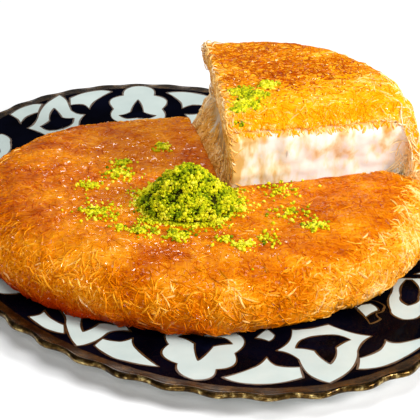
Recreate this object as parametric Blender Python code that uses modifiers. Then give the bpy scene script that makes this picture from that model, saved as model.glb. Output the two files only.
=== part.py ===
"""Kunafa on its platter: a round shredded-pastry cake with a cheese layer, on an oval porcelain dish.

A wedge of the cake is lifted, and the melted cheese under it stretches down into the gap. Ground pistachio
lies in a heap in the middle and in loose crumbs round it. Metres, +Z up, +Y along the platter's long side.
The origin is under the middle of the platter, on the plane that its foot stands on.
"""

import math
import random

import bmesh
import bpy
import numpy as np
from mathutils import Matrix, Vector, noise

GAP = 0.0003  # between solids that touch

# Platter
PLATTER_HALF_WIDTH = 0.1272
PLATTER_HALF_LENGTH = 0.1859
WELL_Z = 0.0085
WELL_EDGE = 0.089  # half the well's width
WELL_MIDDLE = 0.050
BAND_RISE = 0.0025  # from the well to the rim
BAND_EASE = 0.25  # share of the band that curves up out of the well
LIP = 0.0065  # the rim's outermost part, as wide all round
RIM_THICKNESS = 0.0030
BAND_THICKNESS = 0.0042
THINNING = 0.0008  # the band is thinner at the lip
FOOT_OUTER = 0.0810
FOOT_INNER = 0.0735
FOOT_TAPER = 0.0020
UNDERSIDE_Z = 0.0032
SCALLOPS = 49
SCALLOP_OUT = 0.0008  # how far each one reaches beyond the oval
SCALLOP_DEPTH = 0.0022
SCALLOP_START = 0.947  # share of a scallop that is past where the rim meets +X
CROWDING = 0.07  # how much closer together they are where they are closest
CROWDED_AT = 0.179  # share of the way round from +X where that is
PLATTER_STEPS = 2 * SCALLOPS  # one step on each scallop and one between

# Cake
CAKE_X, CAKE_Y = -0.0031, -0.0186
CAKE_Z = WELL_Z + GAP
CAKE_RADIUS = 0.110
CAKE_HEIGHT = 0.029
CAKE_STEPS = 120
SHOULDER_RUN = 0.030
SHOULDER_DROP = 0.0165
TOP_RINGS = (0.4, 0.75)  # shares of the level top at which its mesh has a ring
FOOT_RUN = 0.006
FOOT_RISE = 0.008
UNDERSIDE_RINGS = (0.095, 0.086, 0.055)
BASE_THICKNESS = 0.009
CHEESE_TOP = 0.0185  # above the cake's underside
CHEESE_RADIUS = 0.099
SIDE_FROM, SIDE_FULL = 0.082, 0.104  # radii between which the top's low relief turns into the side's
SIDE_RELIEF = 0.0026
TOP_RELIEF = 0.0003
RELIEF_SIZE = 0.007
OUT_OF_ROUND = ((0.0010, 3, 0.6), (0.0007, 7, 2.0))  # depth, waves round, phase
TOP_WAVE = 0.0007
TOP_WAVE_SIZE = 0.030
TOP_FROM = 0.006  # height from which the top's waves move the pastry
DROOP = 0.0042  # how far the top sinks beside the left cut
DROOP_NEAR, DROOP_FAR = 0.1, 0.75  # radians from the cut
DROOP_RADII = (0.045, 0.095)  # where it begins and where it is full
DROOP_HEIGHTS = (0.018, 0.034)
SWELL = 0.0016  # how far it rises further round
SWELL_HEADING = math.radians(145)
SWELL_REACH = 0.6

# The lifted wedge
APEX_X, APEX_Y = CAKE_X + 0.0060, CAKE_Y - 0.0150
CUT_RIGHT = math.radians(-4)
CUT_LEFT = math.radians(80)
WEDGE_REACH = 0.17
LIFT = 0.0375
TILT = math.radians(0.3)
TILT_TOWARDS = math.radians(75)
TURN = math.radians(-4)
SLICE_RADIUS = 0.1025
SLICE_SHOULDER_RUN = 0.016
SLICE_DROOP = 0.0026  # how far its top sinks beside the left cut
SLICE_RINGS = (0.35, 0.6, 0.82)
CROWN = 0.0036  # how far the slice's top swells above its cut edges
CROWN_RIGHT, CROWN_LEFT = 0.020, 0.075  # distances from the cuts where it is full
SKIRT_RADIUS = 0.1080  # foot of the strands that still join the slice's rim to the cake's
SKIRT_Z = 0.030  # where they part, above the cake's underside
SKIRT_THICKNESS = 0.008
WAIST_TURN = math.radians(-2.4)  # how far the left side is drawn in, halfway up the stretched part
WAIST_FROM = math.radians(25)  # heading from which it is
WAIST_SPAN = (0.008, 0.060)  # heights between which it is
CHEESE_LEVELS = 8
CHEESE_FACE_POINTS = 17
CHEESE_WALL_POINTS = 13
CHEESE_NOSE = 0.035  # share of each cut face left off for the round apex
CHEESE_CLEARANCE = 0.0013  # to the wall of pulled shreds, which isn't quite round the same centre
CHEESE_WAIST = 0.0022  # how far it draws in halfway up
CHEESE_FOLD = 0.0011
FOLD_WIDTH = 0.0065
LEAN_RIGHT = (0.4, 1)  # shares of its height between which each side turns with the slice
LEAN_LEFT = (0.05, 0.35)

# Pistachio
HEAP_X, HEAP_Y = CAKE_X - 0.0167, CAKE_Y - 0.0285
HEAP_RADIUS = 0.0228  # of the core; the crumbs stand out round it
HEAP_HEIGHT = 0.0190
HEAP_CRUMBS = 60
HEAP_STEPS = 24
HEAP_RINGS = 6
BARE_FROM, BARE_TO = 0.027, 0.036  # radii from the heap's middle where the cake's top stays level
CRUMB_PATCHES = (  # x and y from the cake's middle, half width, number of crumbs
    (-0.006, 0.041, 0.004, 4),
    (-0.030, 0.028, 0.004, 3),
    (-0.036, 0.016, 0.006, 5),
    (-0.053, 0.008, 0.005, 3),
    (-0.057, -0.022, 0.008, 6),
    (-0.054, -0.043, 0.003, 2),
    (-0.045, -0.049, 0.005, 5),
    (-0.032, -0.059, 0.005, 4),
    (-0.014, -0.070, 0.004, 2),
    (-0.007, -0.078, 0.004, 3),
    (0.005, -0.075, 0.006, 4),
    (0.025, -0.053, 0.009, 5),
    (0.030, -0.070, 0.004, 3),
)
SLICE_CRUMB_PATCHES = (
    (0.024, 0.001, 0.008, 8),
    (0.036, 0.013, 0.003, 3),
)
CRUMB_SINK = 0.35  # share of a loose crumb's size by which its middle stands above the crust
GOLDEN_ANGLE = math.radians(137.5)


def clear_scene():
    for obj in list(bpy.data.objects):
        bpy.data.objects.remove(obj, do_unlink=True)


def new_collection(name):
    made = bpy.data.collections.new(name)
    bpy.context.scene.collection.children.link(made)
    return made


def material(name, colour, roughness):
    made = bpy.data.materials.new(name)
    made.use_nodes = True
    shader = made.node_tree.nodes["Principled BSDF"]
    shader.inputs["Base Color"].default_value = (*colour, 1)
    shader.inputs["Roughness"].default_value = roughness
    shader.inputs["Metallic"].default_value = 0
    return made


def add_object(name, shape, owner, finish=None):
    """An object of the bmesh, which is freed."""
    mesh = bpy.data.meshes.new(name)
    shape.to_mesh(mesh)
    shape.free()
    obj = bpy.data.objects.new(name, mesh)
    owner.objects.link(obj)
    if finish:
        mesh.materials.append(finish)
    return obj


def freeze(obj):
    """Makes the object's modifiers part of its mesh."""
    bpy.context.view_layer.update()
    graph = bpy.context.evaluated_depsgraph_get()
    mesh = bpy.data.meshes.new_from_object(obj.evaluated_get(graph))
    obj.modifiers.clear()
    obj.data = mesh


def boolean(obj, operation, other, solver="EXACT"):
    """Cuts or joins the object with another object or with all of a collection."""
    modifier = obj.modifiers.new(operation.lower(), "BOOLEAN")
    modifier.operation = operation
    modifier.solver = solver
    modifier.material_mode = "TRANSFER"
    if isinstance(other, bpy.types.Collection):
        modifier.operand_type = "COLLECTION"
        modifier.collection = other
    else:
        modifier.object = other
    freeze(obj)


def turned(name, profile, steps, owner, finish=None):
    """A solid of revolution about Z. The profile runs from the axis, over the top and back underneath."""
    shape = bmesh.new()
    line = [shape.verts.new((x, 0, z)) for x, z in profile]
    for first, second in zip(line, line[1:]):
        shape.edges.new((first, second))
    obj = add_object(name, shape, owner, finish)
    screw = obj.modifiers.new("turn", "SCREW")
    screw.axis = "Z"
    screw.steps = steps
    screw.render_steps = steps
    screw.use_merge_vertices = True
    screw.merge_threshold = 0.00001
    freeze(obj)
    return obj


def move_points(obj, rule):
    for vertex in obj.data.vertices:
        vertex.co = rule(vertex.co)
    obj.data.update()


def smooth_step(value, low, high):
    share = min(max((value - low) / (high - low), 0), 1)
    return share * share * (3 - 2 * share)


def arc(centre_x, centre_z, run, rise, start, end, count):
    """Points on an ellipse, with angles in degrees from +X."""
    for index in range(count + 1):
        angle = math.radians(start + (end - start) * index / count)
        yield centre_x + run * math.cos(angle), centre_z + rise * math.sin(angle)


def band_z(x):
    """Height of the platter's upper face, at this share of its half width in metres."""
    share = max(x - WELL_EDGE, 0) / (PLATTER_HALF_WIDTH - WELL_EDGE)
    slope = 1 / (1 - BAND_EASE / 2)
    if share < BAND_EASE:
        return WELL_Z + BAND_RISE * slope * share * share / (2 * BAND_EASE)
    return WELL_Z + BAND_RISE * slope * (share - BAND_EASE / 2)


def platter_z(x, y):
    """Height of the platter's upper face under a point of the plan, inside the lip."""
    inner_width = PLATTER_HALF_WIDTH - LIP
    inner_length = PLATTER_HALF_LENGTH - LIP
    return band_z(inner_width * math.hypot(x / inner_width, y / inner_length))


def scallops_passed(share):
    """How many scallops lie before each share of the way round from +X."""
    drift = CROWDING * SCALLOPS / math.tau * np.sin(math.tau * (share - CROWDED_AT))
    return SCALLOPS * share + drift + SCALLOP_START


def rim_angles():
    """The ellipse's angle at each step: on a scallop at odd steps, between two at even ones."""
    angles = np.linspace(0, 2 * math.pi, 3601)
    points = np.stack(
        [PLATTER_HALF_WIDTH * np.cos(angles), PLATTER_HALF_LENGTH * np.sin(angles)], 1
    )
    lengths = np.linalg.norm(np.diff(points, axis=0), axis=1)
    along = np.concatenate([[0], np.cumsum(lengths)])
    return np.interp((np.arange(PLATTER_STEPS) + 1) / 2, scallops_passed(along / along[-1]), angles)


def platter_profile():
    edge = PLATTER_HALF_WIDTH
    lip_start = edge - LIP
    eased = WELL_EDGE + BAND_EASE * (edge - WELL_EDGE)
    profile = [(x, band_z(x)) for x in (0, WELL_MIDDLE, WELL_EDGE, eased, lip_start)]
    bead = RIM_THICKNESS / 2
    profile += arc(edge - bead, band_z(edge) - bead, bead, bead, 90, -90, 3)
    profile += [
        (lip_start, band_z(lip_start) - BAND_THICKNESS + THINNING),
        (WELL_EDGE, WELL_Z - BAND_THICKNESS),
        (FOOT_OUTER + FOOT_TAPER, WELL_Z - BAND_THICKNESS),
        (FOOT_OUTER, 0),
        (FOOT_INNER, 0),
        (FOOT_INNER - FOOT_TAPER, UNDERSIDE_Z),
        (0, UNDERSIDE_Z),
    ]
    return profile


def make_platter(owner):
    platter = turned("platter", platter_profile(), PLATTER_STEPS, owner, GLAZE)
    angles = rim_angles()

    def to_oval(point):
        radius = math.hypot(point.x, point.y)
        if radius < 1e-6:
            return point
        step = round(math.atan2(point.y, point.x) / math.tau * PLATTER_STEPS) % PLATTER_STEPS
        angle = angles[step]
        heading = Vector((math.cos(angle), math.sin(angle), 0))
        rim = heading * Vector((PLATTER_HALF_WIDTH, PLATTER_HALF_LENGTH, 0))
        outward = (heading * Vector((PLATTER_HALF_LENGTH, PLATTER_HALF_WIDTH, 0))).normalized()
        lip_start = PLATTER_HALF_WIDTH - LIP
        inner = heading * Vector((lip_start, PLATTER_HALF_LENGTH - LIP, 0))
        if radius <= lip_start + 1e-6:
            moved = inner * (radius / lip_start)
        else:
            share = (radius - lip_start) / LIP
            wave = SCALLOP_OUT if step % 2 else SCALLOP_OUT - SCALLOP_DEPTH
            moved = inner.lerp(rim, share) + outward * (wave * share)
        moved.z = point.z
        return moved

    move_points(platter, to_oval)


def cake_top_profile(radius, shoulder_run, rings):
    """The upper face from the middle out, and the round shoulder down to its widest."""
    flat = radius - shoulder_run
    points = [(flat * share, CAKE_HEIGHT) for share in (0, *rings)]
    points += arc(flat, CAKE_HEIGHT - SHOULDER_DROP, shoulder_run, SHOULDER_DROP, 90, 0, 6)
    return points


def cake_foot_profile():
    """The browned lower edge, curving in, and the underside back to the middle."""
    points = list(arc(CAKE_RADIUS - FOOT_RUN, FOOT_RISE, FOOT_RUN, FOOT_RISE, 0, -90, 3))
    return points + [(radius, 0) for radius in (*UNDERSIDE_RINGS, 0)]


def ragged(point):
    """Moves a point of the pastry as its shreds do: rough at the side, nearly level on top."""
    across = Vector((point.x - CAKE_X, point.y - CAKE_Y, 0))
    radius = across.length
    if radius < 1e-6:
        return point
    angle = math.atan2(across.y, across.x)
    side = smooth_step(radius, SIDE_FROM, SIDE_FULL)
    bare = smooth_step(math.hypot(point.x - HEAP_X, point.y - HEAP_Y), BARE_FROM, BARE_TO)
    wander = sum(depth * math.sin(waves * angle + phase) for depth, waves, phase in OUT_OF_ROUND)
    bump = noise.noise(point / RELIEF_SIZE)
    moved = point + across.normalized() * side * (wander + SIDE_RELIEF * bump)
    if point.z > CAKE_Z + TOP_FROM:
        wave = noise.noise(Vector((point.x, point.y, 0)) / TOP_WAVE_SIZE)
        moved.z += bare * (TOP_WAVE * wave + TOP_RELIEF * bump)
    return moved


def settle(point):
    """Keeps a point of the cake off the platter, whose band rises under the cake's two narrow sides."""
    lowest = platter_z(point.x, point.y) + 2 * GAP
    if point.z < lowest and point.z > WELL_Z and lowest > CAKE_Z + GAP:
        return Vector((point.x, point.y, lowest))
    return point


def in_place(point):
    return point + Vector((CAKE_X, CAKE_Y, CAKE_Z))


def droop(point, depth=DROOP, swell=SWELL):
    """The top sinks beside the left cut, where the wedge has pulled away, and swells past it."""
    across = Vector((point.x - CAKE_X, point.y - CAKE_Y))
    angle = math.atan2(across.y, across.x)
    sunk = 1 - smooth_step(abs(angle - CUT_LEFT), DROOP_NEAR, DROOP_FAR)
    swollen = 1 - smooth_step(abs(angle - SWELL_HEADING), 0, SWELL_REACH)
    share = smooth_step(across.length, *DROOP_RADII) * smooth_step(point.z, *DROOP_HEIGHTS)
    return point + Vector((0, 0, (swell * swollen - depth * sunk) * share))


def crown(point):
    """The slice's top swells between its cuts, so that their edges are low and soft."""
    shares = []
    for angle, reach in ((CUT_RIGHT, CROWN_RIGHT), (CUT_LEFT, -CROWN_LEFT)):
        across = (point.y - APEX_Y) * math.cos(angle) - (point.x - APEX_X) * math.sin(angle)
        shares.append(across / reach)
    share = min(max(min(shares), 0), 1)
    upper = smooth_step(point.z - CAKE_Z, CHEESE_TOP, CAKE_HEIGHT)
    return point + Vector((0, 0, CROWN * upper * math.sin(math.pi / 2 * share)))


def draw_in(point):
    """Turns the left side of what stretches under the slice towards the middle, most halfway up."""
    low, high = WAIST_SPAN
    waist = math.sin(math.pi * min(max((point.z - CAKE_Z - low) / (high - low), 0), 1))
    heading = math.atan2(point.y - APEX_Y, point.x - APEX_X)
    turn = WAIST_TURN * waist * smooth_step(heading, WAIST_FROM, CUT_LEFT + TURN)
    apex = Vector((APEX_X, APEX_Y, 0))
    return apex + Matrix.Rotation(turn, 3, "Z") @ (point - apex)


def wedge(name, owner, inset=0, low=-0.02, high=0.15):
    """A prism over the wedge's plan, with its two cut faces moved in by the inset."""
    middle = (CUT_LEFT + CUT_RIGHT) / 2
    back = inset / math.sin((CUT_LEFT - CUT_RIGHT) / 2)
    apex = Vector((APEX_X, APEX_Y, low)) + back * Vector((math.cos(middle), math.sin(middle), 0))
    corners = [apex]
    outer = WEDGE_REACH / math.cos((CUT_LEFT - CUT_RIGHT) / 2)
    for angle, length in ((CUT_RIGHT, WEDGE_REACH), (middle, outer), (CUT_LEFT, WEDGE_REACH)):
        corners.append(apex + length * Vector((math.cos(angle), math.sin(angle), 0)))
    shape = bmesh.new()
    floor = shape.faces.new([shape.verts.new(corner) for corner in corners])
    grown = bmesh.ops.extrude_face_region(shape, geom=[floor])
    raised = [item for item in grown["geom"] if isinstance(item, bmesh.types.BMVert)]
    bmesh.ops.translate(shape, verts=raised, vec=(0, 0, high - low))
    bmesh.ops.recalc_face_normals(shape, faces=shape.faces)
    return as_cutter(add_object(name, shape, owner))


def as_cutter(obj):
    obj.hide_render = True
    obj.display_type = "WIRE"
    return obj


def cheese_disc(name, owner, grow=0, finish=None):
    """The level layer of cheese, out to the pastry's wall."""
    shape = bmesh.new()
    bmesh.ops.create_cone(
        shape,
        cap_ends=True,
        segments=64,
        radius1=CHEESE_RADIUS - GAP + grow,
        radius2=CHEESE_RADIUS - GAP + grow,
        depth=CHEESE_TOP - BASE_THICKNESS - 2 * GAP + 2 * grow,
    )
    middle = CAKE_Z + (CHEESE_TOP + BASE_THICKNESS) / 2
    bmesh.ops.translate(shape, verts=shape.verts, vec=(CAKE_X, CAKE_Y, middle))
    return add_object(name, shape, owner, finish)


def make_cake(owner, cutters, hollow):
    """Three quarters of the cake, hollow where its cheese lies."""
    profile = cake_top_profile(CAKE_RADIUS, SHOULDER_RUN, TOP_RINGS) + cake_foot_profile()
    cake = turned("cake_pastry", profile, CAKE_STEPS, owner, CRUST)
    move_points(cake, lambda point: droop(settle(ragged(in_place(point)))))
    boolean(cake, "DIFFERENCE", hollow)
    boolean(cake, "DIFFERENCE", wedge("gap_cutter", cutters))
    return cake


def make_cake_cheese(owner, cutters):
    cheese = cheese_disc("cake_cheese", owner, finish=CHEESE)
    boolean(cheese, "DIFFERENCE", wedge("cheese_cutter", cutters))


def skirt_z(x, y, height):
    """World height, under the tilted slice, of the level that was at this height in it."""
    along = (x - APEX_X) * math.cos(TILT_TOWARDS) + (y - APEX_Y) * math.sin(TILT_TOWARDS)
    pivot = CAKE_Z + CAKE_HEIGHT
    return pivot + LIFT + (height - CAKE_HEIGHT) / math.cos(TILT) + along * math.tan(TILT)


def wall_inside():
    """Inner face of the pulled-up wall: height above the cake's underside, and radius."""
    inner = SKIRT_RADIUS - SKIRT_THICKNESS
    return [
        (BASE_THICKNESS, inner - 0.002),
        (SKIRT_Z, inner),
        (0.006 + LIFT, inner - 0.002),
        (CHEESE_TOP - 0.002 + LIFT, SLICE_RADIUS - SKIRT_THICKNESS),
        (CHEESE_TOP + LIFT, SLICE_RADIUS - SKIRT_THICKNESS - 0.003),
    ]


def make_gap_base(owner, cutters):
    """What stays in the gap: the lower pastry, and the cake's wall pulled up to meet the slice's skirt."""
    inner = SKIRT_RADIUS - SKIRT_THICKNESS
    profile = [(0, BASE_THICKNESS), (0.05, BASE_THICKNESS)]
    profile += [(radius, height) for height, radius in wall_inside()[:2]]
    profile += [
        (SKIRT_RADIUS, SKIRT_Z),
        (CAKE_RADIUS, 0.018),
    ]
    base = turned("gap_base_pastry", profile + cake_foot_profile(), CAKE_STEPS, owner, CRUST)
    wall_top = CAKE_Z + SKIRT_Z

    def shaped(point):
        moved = in_place(point)
        on_top = moved.z > wall_top - 1e-6
        if point.xy.length > inner + 0.002 or point.z < 0.001:
            moved = settle(ragged(moved))
        if on_top:
            moved.z = skirt_z(moved.x, moved.y, SKIRT_Z - LIFT) - GAP
        return moved

    move_points(base, shaped)
    cutter = wedge("base_cutter", cutters, inset=GAP, low=0, high=CAKE_Z + SKIRT_Z + 0.004)
    lean_left(cutter)
    boolean(base, "INTERSECT", cutter)
    move_points(base, draw_in)


def lean_left(cutter):
    """Swings the top of the cutter's left face in, as far as the slice above is turned."""
    apex = Vector((APEX_X, APEX_Y, 0))
    turn = Matrix.Translation(apex) @ Matrix.Rotation(TURN, 4, "Z") @ Matrix.Translation(-apex)
    for vertex in cutter.data.vertices:
        heading = math.atan2(vertex.co.y - APEX_Y, vertex.co.x - APEX_X)
        if vertex.co.z > CAKE_Z and heading > CUT_LEFT - 0.1:
            vertex.co = turn @ vertex.co


def lift_matrix():
    """Moves the slice from its place in the cake to where it is held up."""
    pivot = Vector((APEX_X, APEX_Y, CAKE_Z + CAKE_HEIGHT))
    towards = Vector((math.cos(TILT_TOWARDS), math.sin(TILT_TOWARDS), 0))
    tilt_axis = towards.cross(Vector((0, 0, 1)))
    return (
        Matrix.Translation(pivot + Vector((0, 0, LIFT)))
        @ Matrix.Rotation(TILT, 4, tilt_axis)
        @ Matrix.Rotation(TURN, 4, "Z")
        @ Matrix.Translation(-pivot)
    )


def make_slice(owner, cutters):
    """The lifted upper pastry, with the skirt of pulled shreds round its outer rim."""
    inner = SKIRT_RADIUS - SKIRT_THICKNESS
    profile = cake_top_profile(SLICE_RADIUS, SLICE_SHOULDER_RUN, SLICE_RINGS) + [
        (SLICE_RADIUS + 0.0015, 0.003),
        (SKIRT_RADIUS, SKIRT_Z - LIFT),
    ]
    profile += [(radius, height - LIFT) for height, radius in wall_inside()[1:]]
    profile += [(0.05, CHEESE_TOP), (0, CHEESE_TOP)]
    piece = turned("slice_pastry", profile, CAKE_STEPS, owner, CRUST)

    def shaped(point):
        outside = point.xy.length > SLICE_RADIUS - 0.003 and point.xy.length > inner + 0.002
        if outside or point.z > CHEESE_TOP + 0.002:
            return crown(droop(ragged(in_place(point)), SLICE_DROOP, 0))
        return in_place(point)

    move_points(piece, shaped)
    boolean(piece, "INTERSECT", wedge("slice_cutter", cutters, inset=GAP))
    scatter(piece, SLICE_CRUMB_PATCHES, cutters, seed=5)
    piece.data.transform(lift_matrix())
    move_points(piece, draw_in)


def cheese_outline(inset, radius, folds):
    """The stretched cheese's plan: both cut faces, a blunt apex, and the arc along the pastry's wall."""
    middle = (CUT_LEFT + CUT_RIGHT) / 2
    back = inset / math.sin((CUT_LEFT - CUT_RIGHT) / 2)
    apex = Vector((APEX_X, APEX_Y)) + back * Vector((math.cos(middle), math.sin(middle)))
    centre = Vector((CAKE_X, CAKE_Y))

    def reach(angle):
        """Distance from the apex to the wall in this direction."""
        heading = Vector((math.cos(angle), math.sin(angle)))
        offset = apex - centre
        half = offset.dot(heading)
        return -half + math.sqrt(half * half + radius * radius - offset.length_squared)

    points = []
    for angle, order in ((CUT_RIGHT, 1), (CUT_LEFT, -1)):
        heading = Vector((math.cos(angle), math.sin(angle)))
        inward = Vector((-heading.y, heading.x)) * order
        run = reach(angle) - CHEESE_CLEARANCE
        face = []
        for share in np.linspace(CHEESE_NOSE, 1, CHEESE_FACE_POINTS).tolist():
            fold = folds(share * run, order) * min(1, 6 * (1 - share))
            face.append(apex + heading * share * run + inward * fold)
        points.append(face)
    right, left = points
    start = math.atan2(*reversed(right[-1] - centre))
    end = math.atan2(*reversed(left[-1] - centre))
    wall = []
    for angle in np.linspace(start, end, CHEESE_WALL_POINTS + 2).tolist()[1:-1]:
        wall.append(centre + radius * Vector((math.cos(angle), math.sin(angle))))
    nose = apex + GAP * 5 * Vector((math.cos(middle), math.sin(middle)))
    return right + wall + left[::-1] + [nose]


def cheese_turn(across, share):
    """How far the cheese has turned with the slice, at this share of its height."""
    leftness = smooth_step(math.atan2(across.y, across.x), CUT_RIGHT, CUT_LEFT)
    right = smooth_step(share, *LEAN_RIGHT)
    return TURN * (right + (smooth_step(share, *LEAN_LEFT) - right) * leftness)


def make_slice_cheese(owner):
    """Melted cheese between the base and the lifted slice, lofted up through its levels."""
    shape = bmesh.new()
    rings = []
    floor = CAKE_Z + BASE_THICKNESS + GAP
    heights, radii = zip(*wall_inside())
    apex = Vector((APEX_X, APEX_Y))
    for level in range(CHEESE_LEVELS):
        share = level / (CHEESE_LEVELS - 1)
        waist = math.sin(math.pi * share)
        height = BASE_THICKNESS + share * (CHEESE_TOP + LIFT - BASE_THICKNESS)
        radius = float(np.interp(height, heights, radii)) - CHEESE_CLEARANCE

        def folds(run, order, waist=waist, share=share):
            across = noise.noise(Vector((run / FOLD_WIDTH, 3.0 * order, share * 0.9)))
            return (0.35 + 0.65 * waist) * CHEESE_FOLD * (1 + across)

        ring = []
        for point in cheese_outline(2 * GAP + CHEESE_WAIST * waist, radius, folds):
            point = apex + Matrix.Rotation(cheese_turn(point - apex, share), 2) @ (point - apex)
            ceiling = skirt_z(point.x, point.y, CHEESE_TOP) - GAP
            place = Vector((point.x, point.y, floor + (ceiling - floor) * share))
            ring.append(shape.verts.new(draw_in(place)))
        rings.append(ring)
    for lower, upper in zip(rings, rings[1:]):
        for index in range(len(lower)):
            after = (index + 1) % len(lower)
            shape.faces.new((lower[index], lower[after], upper[after], upper[index]))
    shape.faces.new(rings[0][::-1])
    shape.faces.new(rings[-1])
    add_object("slice_cheese", shape, owner, CHEESE)


def crumb(place, size, chance, owner):
    """One crumb of pistachio, a small uneven lump."""
    shape = bmesh.new()
    bmesh.ops.create_icosphere(shape, subdivisions=1, radius=size)
    turn = Matrix.Rotation(chance.uniform(0, math.tau), 4, (chance.random(), chance.random(), 0.5))
    stretch = Matrix.Diagonal((chance.uniform(0.8, 1.3), chance.uniform(0.8, 1.1), 0.9, 1))
    bmesh.ops.transform(shape, matrix=Matrix.Translation(place) @ turn @ stretch, verts=shape.verts)
    return add_object("crumb", shape, owner, NUT)


def fuse(obj, pieces):
    """Joins a collection of small pieces to the object and removes them."""
    boolean(obj, "UNION", pieces, solver="MANIFOLD")
    for piece in list(pieces.objects):
        bpy.data.objects.remove(piece)
    bpy.data.collections.remove(pieces)


def scatter(obj, patches, cutters, seed):
    """Loose crumbs lying on the object's upper face, in patches."""
    chance = random.Random(seed)
    pieces = bpy.data.collections.new("loose_crumbs")
    cutters.children.link(pieces)
    for x, y, half_width, count in patches:
        for index in range(count):
            angle = GOLDEN_ANGLE * index + chance.uniform(-0.4, 0.4)
            run = half_width * math.sqrt((index + 0.5) / count)
            spot = Vector((CAKE_X + x + run * math.cos(angle), CAKE_Y + y + run * math.sin(angle), 0.1))
            size = chance.uniform(0.0010, 0.0016)
            hit, place, _, _ = obj.ray_cast(spot, (0, 0, -1))
            if hit:
                crumb(place + Vector((0, 0, CRUMB_SINK * size)), size, chance, pieces)
    fuse(obj, pieces)


def make_heap(owner, cutters):
    """Ground pistachio: a low uneven cone, with its larger crumbs fused on."""
    profile = [(0, HEAP_HEIGHT)]
    for index in range(1, HEAP_RINGS):
        share = index / HEAP_RINGS
        profile.append((HEAP_RADIUS * share, heap_height(share)))
    profile += [(HEAP_RADIUS, 0.0008), (HEAP_RADIUS - 0.0006, 0), (0, 0)]
    heap = turned("pistachio_heap", profile, HEAP_STEPS, owner, NUT)
    foot = CAKE_Z + CAKE_HEIGHT + GAP

    def shaped(point):
        rough = noise.noise(point / 0.007) * smooth_step(point.z, 0, 0.004)
        outward = Vector((point.x, point.y, 0.01)).normalized()
        return point + outward * 0.0015 * rough + Vector((HEAP_X, HEAP_Y, foot))

    move_points(heap, shaped)
    chance = random.Random(11)
    pieces = bpy.data.collections.new("heap_crumbs")
    cutters.children.link(pieces)
    for index in range(HEAP_CRUMBS):
        share = 0.95 * math.sqrt((index + 0.5) / HEAP_CRUMBS)
        angle = GOLDEN_ANGLE * index
        size = chance.uniform(0.0023, 0.0034) * (1 - 0.3 * share)
        run = HEAP_RADIUS * share
        height = foot + heap_height(share) - 0.25 * size
        place = Vector((HEAP_X + run * math.cos(angle), HEAP_Y + run * math.sin(angle), height))
        place.z = max(place.z, foot + 1.35 * size)
        crumb(place, size, chance, pieces)
    fuse(heap, pieces)


def heap_height(share):
    """Height of the heap's face at this share of its radius: a round top and straight sides."""
    return HEAP_HEIGHT * (1 - share**1.35) * (1 - 0.12 * share)


clear_scene()
GLAZE = material("glazed_porcelain", (0.03, 0.04, 0.09), 0.12)
CRUST = material("baked_pastry", (0.62, 0.20, 0.02), 0.35)
CHEESE = material("melted_cheese", (0.93, 0.80, 0.62), 0.4)
NUT = material("ground_pistachio", (0.38, 0.48, 0.03), 0.8)

kunafa = new_collection("kunafa")
cutters = new_collection("cutters")
make_platter(kunafa)
hollow = as_cutter(cheese_disc("hollow_cutter", cutters, grow=GAP))
cake = make_cake(kunafa, cutters, hollow)
scatter(cake, CRUMB_PATCHES, cutters, seed=3)
make_cake_cheese(kunafa, cutters)
make_gap_base(kunafa, cutters)
make_slice_cheese(kunafa)
make_slice(kunafa, cutters)
make_heap(kunafa, cutters)
for piece in kunafa.objects:
    piece.data.set_sharp_from_angle(angle=math.radians(40))
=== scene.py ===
"""Kunafa on a cotton-boll platter: the finish of its baked shreds, cheese, ground nuts and glaze."""

import math

import bmesh
import bpy
import numpy as np
from mathutils import Matrix, Vector, noise
from mathutils.bvhtree import BVHTree


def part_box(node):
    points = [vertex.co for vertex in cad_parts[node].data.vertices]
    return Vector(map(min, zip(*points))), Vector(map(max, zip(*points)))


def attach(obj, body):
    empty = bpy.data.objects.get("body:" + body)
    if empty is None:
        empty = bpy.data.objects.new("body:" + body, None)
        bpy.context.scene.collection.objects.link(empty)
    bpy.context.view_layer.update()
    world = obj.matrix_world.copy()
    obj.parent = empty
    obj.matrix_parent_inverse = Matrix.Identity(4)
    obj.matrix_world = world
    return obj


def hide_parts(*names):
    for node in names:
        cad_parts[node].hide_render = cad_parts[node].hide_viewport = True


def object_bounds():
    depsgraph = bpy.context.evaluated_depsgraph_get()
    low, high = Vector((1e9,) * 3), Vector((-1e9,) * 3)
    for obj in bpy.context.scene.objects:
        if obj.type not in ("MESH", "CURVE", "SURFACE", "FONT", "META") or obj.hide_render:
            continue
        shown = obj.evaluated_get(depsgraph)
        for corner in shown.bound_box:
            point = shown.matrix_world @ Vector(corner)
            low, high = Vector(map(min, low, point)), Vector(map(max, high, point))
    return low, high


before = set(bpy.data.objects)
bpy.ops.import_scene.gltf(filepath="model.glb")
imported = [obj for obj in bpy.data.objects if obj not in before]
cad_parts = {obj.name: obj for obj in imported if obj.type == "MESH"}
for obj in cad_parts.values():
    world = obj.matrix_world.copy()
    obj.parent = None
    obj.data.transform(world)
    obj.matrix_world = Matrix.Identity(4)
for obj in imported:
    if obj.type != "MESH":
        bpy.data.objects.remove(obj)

cad_low, cad_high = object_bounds()

# Camera at the photograph's viewpoint, for an image of 420 by 420
IMAGE = 420
FOCAL_PIXELS = 1855
SENSOR = 36
CAMERA_PLACE = (-0.27085, -0.78661, 0.38916)
CAMERA_TARGET = (0.00165, -0.01778, 0.01900)

# Studio: each light's place, what it points at, its breadth in metres and its power in watts
LIGHTS = {
    "softbox": ((0, 0.1, 1.6), (0, 0, 0), 1.3, 14.5),
    "key": ((1.0, -0.95, 0.75), (0, 0, 0.03), 0.5, 22),
    "fill": ((-0.60, -1.15, 0.75), (0, 0, 0.02), 0.7, 7.5),
    "back_light": ((0.30, 0.95, 0.74), (0, 0, 0.03), 0.25, 1.6),
}
SKY_LIGHT = 0.16
FLOOR_WIDTH = 8

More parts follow.
